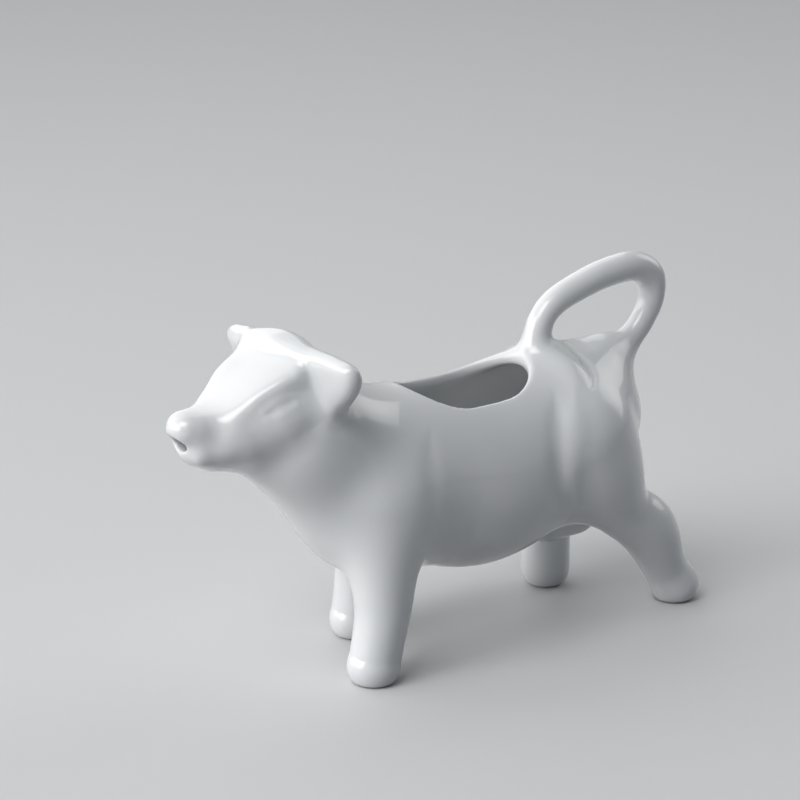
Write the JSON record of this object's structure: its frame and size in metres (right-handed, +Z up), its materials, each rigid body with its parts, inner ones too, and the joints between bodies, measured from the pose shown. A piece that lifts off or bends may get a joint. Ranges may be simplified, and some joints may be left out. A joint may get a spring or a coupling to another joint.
{
  "type": "cow creamer",
  "caption": "Small glazed porcelain jug shaped as a walking cow: filled through the open back, held by the tail loop, poured at the mouth.",
  "frame": {"origin": "centre of the bounding box at the height of the table the feet stand on", "axes": "+X from the nose to the tail, -Y to the cow's left side, +Z up"},
  "size_m": [0.1467, 0.0516, 0.0897],
  "materials": {
    "glaze_body": "glossy clear glaze over white porcelain",
    "glaze_head": "glossy clear glaze, softening the cast face",
    "glaze_ears": "glossy clear glaze",
    "glaze_legs": "glossy clear glaze, wiped bare under the feet",
    "glaze_udder": "glossy clear glaze, pooled a little in the creases",
    "glaze_tail": "glossy clear glaze"
  },
  "bodies": {
    "root": {"body": "glaze_body", "head": "glaze_head", "ear_left": "glaze_ears", "ear_right": "glaze_ears", "leg_front_left": "glaze_legs", "leg_front_right": "glaze_legs", "leg_hind_left": "glaze_legs", "leg_hind_right": "glaze_legs", "udder": "glaze_udder", "tail_handle": "glaze_tail"}
  },
  "joints": []
}
